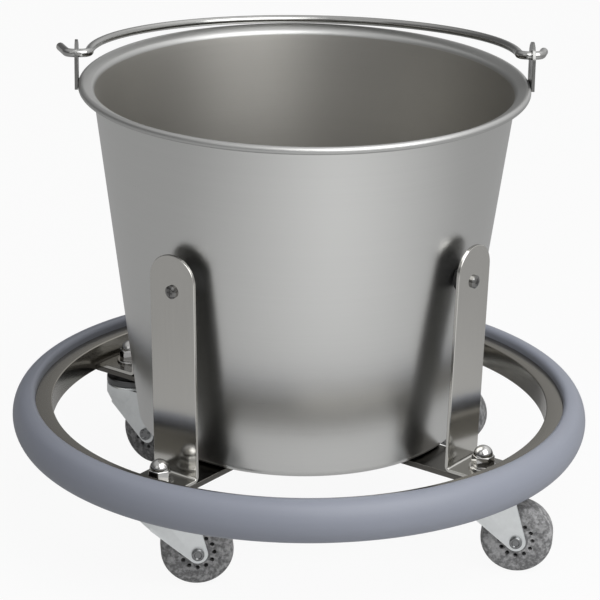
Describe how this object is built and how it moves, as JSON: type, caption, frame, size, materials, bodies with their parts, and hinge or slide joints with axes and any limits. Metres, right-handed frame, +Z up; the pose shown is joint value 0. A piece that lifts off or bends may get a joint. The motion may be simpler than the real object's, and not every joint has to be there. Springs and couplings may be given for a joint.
{
  "type": "surgical kick bucket",
  "caption": "Round tapered steel pail with a swinging wire bail, standing in a low ring carrier with a rubber bumper on swivel casters, made to be pushed by foot.",
  "frame": {"origin": "on the floor under the pail's axis", "axes": "+Z up along the pail's axis, +X through the right ear along the bail's pivot line, +Y to the back, where the bail lies"},
  "size_m": [0.4181, 0.418, 0.3552],
  "materials": {
    "pail_steel": "satin, brushed round the pail",
    "carrier_steel": "satin stainless",
    "wire_steel": "drawn stainless wire",
    "bright_steel": "polished",
    "zinc_steel": "bright zinc plate",
    "bumper_rubber": "matte grey",
    "pad_rubber": "matte black",
    "wheel_rubber": "mottled grey, conductive",
    "core_plastic": "dark grey"
  },
  "bodies": {
    "carrier": {"carrier_ring": "carrier_steel", "bumper": "bumper_rubber", "cross_bar_full": "carrier_steel", "cross_bar_half_front": "carrier_steel", "cross_bar_half_rear": "carrier_steel", "upright_front_left": "carrier_steel", "upright_front_right": "carrier_steel", "upright_rear_right": "carrier_steel", "upright_rear_left": "carrier_steel", "pad_front_left": "pad_rubber", "pad_front_right": "pad_rubber", "pad_rear_right": "pad_rubber", "pad_rear_left": "pad_rubber", "pad_inserts": "zinc_steel", "pad_screws": "bright_steel", "stem_washers": "bright_steel", "acorn_nuts": "bright_steel", "caster_stem_front_left": "zinc_steel", "caster_stem_front_right": "zinc_steel", "caster_stem_rear_right": "zinc_steel", "caster_stem_rear_left": "zinc_steel", "race_cap_front_left": "zinc_steel", "race_cap_front_right": "zinc_steel", "race_cap_rear_right": "zinc_steel", "race_cap_rear_left": "zinc_steel"},
    "pail": {"pail_shell": "pail_steel", "ear_left": "pail_steel", "ear_right": "pail_steel"},
    "bail": {"bail": "wire_steel"},
    "swivel_front_left": {"fork_front_left": "zinc_steel", "swivel_balls_front_left": "bright_steel", "axle_bolt_front_left": "zinc_steel", "axle_nut_front_left": "zinc_steel", "axle_sleeve_front_left": "zinc_steel"},
    "wheel_front_left": {"wheel_core_front_left": "core_plastic", "tyre_front_left": "wheel_rubber"},
    "swivel_front_right": {"fork_front_right": "zinc_steel", "swivel_balls_front_right": "bright_steel", "axle_bolt_front_right": "zinc_steel", "axle_nut_front_right": "zinc_steel", "axle_sleeve_front_right": "zinc_steel"},
    "wheel_front_right": {"wheel_core_front_right": "core_plastic", "tyre_front_right": "wheel_rubber"},
    "swivel_rear_right": {"fork_rear_right": "zinc_steel", "swivel_balls_rear_right": "bright_steel", "axle_bolt_rear_right": "zinc_steel", "axle_nut_rear_right": "zinc_steel", "axle_sleeve_rear_right": "zinc_steel"},
    "wheel_rear_right": {"wheel_core_rear_right": "core_plastic", "tyre_rear_right": "wheel_rubber"},
    "swivel_rear_left": {"fork_rear_left": "zinc_steel", "swivel_balls_rear_left": "bright_steel", "axle_bolt_rear_left": "zinc_steel", "axle_nut_rear_left": "zinc_steel", "axle_sleeve_rear_left": "zinc_steel"},
    "wheel_rear_left": {"wheel_core_rear_left": "core_plastic", "tyre_rear_left": "wheel_rubber"}
  },
  "joints": [
    {"name": "pail_lift", "type": "slide", "parent": "carrier", "child": "pail", "axis": [0, 0, 1], "range_m": [0, 0.2]},
    {"name": "bail_swing", "type": "hinge", "parent": "pail", "child": "bail", "pos_m": [0, 0, 0.3457], "axis": [1, 0, 0], "range_deg": [0, 191.6]},
    {"name": "swivel_turn_front_left", "type": "hinge", "parent": "carrier", "child": "swivel_front_left", "pos_m": [-0.10111, -0.1253, 0.0685], "axis": [0, 0, 1], "continuous": true},
    {"name": "wheel_roll_front_left", "type": "hinge", "parent": "swivel_front_left", "child": "wheel_front_left", "pos_m": [-0.07514, -0.12408, 0.0254], "axis": [-0.0471, 0.9989, 0], "continuous": true},
    {"name": "swivel_turn_front_right", "type": "hinge", "parent": "carrier", "child": "swivel_front_right", "pos_m": [0.1253, -0.10111, 0.0685], "axis": [0, 0, 1], "continuous": true},
    {"name": "wheel_roll_front_right", "type": "hinge", "parent": "swivel_front_right", "child": "wheel_front_right", "pos_m": [0.15096, -0.10531, 0.0254], "axis": [0.1616, 0.9869, 0], "continuous": true},
    {"name": "swivel_turn_rear_right", "type": "hinge", "parent": "carrier", "child": "swivel_rear_right", "pos_m": [0.10111, 0.1253, 0.0685], "axis": [0, 0, 1], "continuous": true},
    {"name": "wheel_roll_rear_right", "type": "hinge", "parent": "swivel_rear_right", "child": "wheel_rear_right", "pos_m": [0.12516, 0.11544, 0.0254], "axis": [0.3795, 0.9252, 0], "continuous": true},
    {"name": "swivel_turn_rear_left", "type": "hinge", "parent": "carrier", "child": "swivel_rear_left", "pos_m": [-0.1253, 0.10111, 0.0685], "axis": [0, 0, 1], "continuous": true},
    {"name": "wheel_roll_rear_left", "type": "hinge", "parent": "swivel_rear_left", "child": "wheel_rear_left", "pos_m": [-0.10462, 0.08535, 0.0254], "axis": [0.606, 0.7955, 0], "continuous": true}
  ]
}
